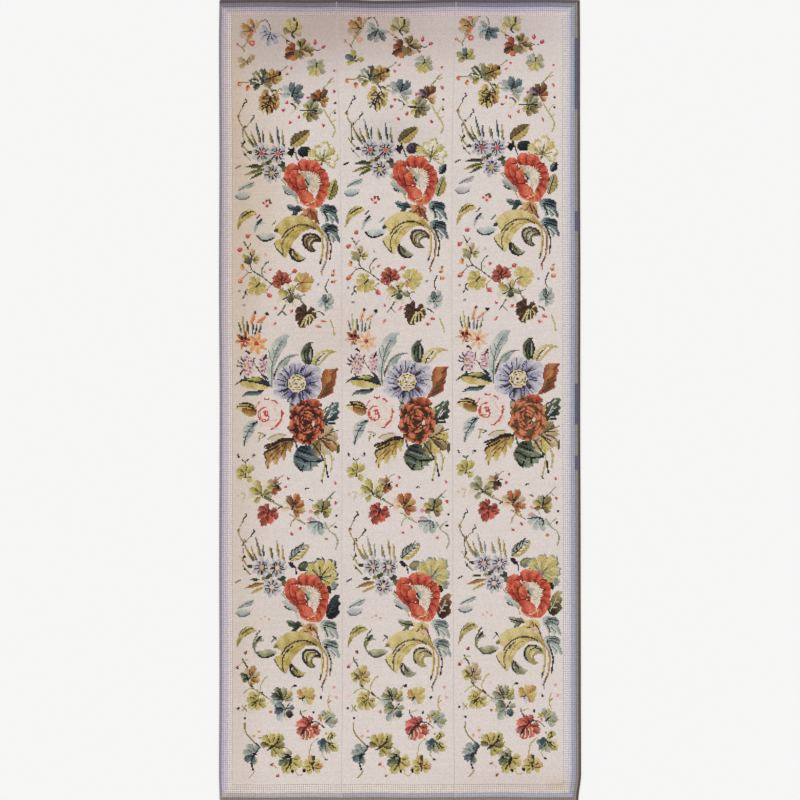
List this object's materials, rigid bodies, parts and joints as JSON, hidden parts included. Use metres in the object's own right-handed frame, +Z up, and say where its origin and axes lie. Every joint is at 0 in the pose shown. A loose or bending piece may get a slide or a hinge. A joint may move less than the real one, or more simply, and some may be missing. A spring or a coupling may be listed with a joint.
{
  "type": "needlepoint rug",
  "caption": "Flat rectangular floor rug of floral wool-stitched canvas strips sewn side by side, with a shaded border; lies flat on a floor.",
  "frame": {"origin": "middle of the rug's underside, on the floor", "axes": "+X across the rug's width, +Y along its length towards the top end of the picture, +Z up"},
  "size_m": [1.715, 3.8, 0.006],
  "materials": {
    "stitched_wool": "matte wool cross stitch on canvas, faded cream ground with many flower colours"
  },
  "bodies": {
    "root": {"strip_left": "stitched_wool", "strip_centre": "stitched_wool", "strip_right": "stitched_wool"}
  },
  "joints": []
}
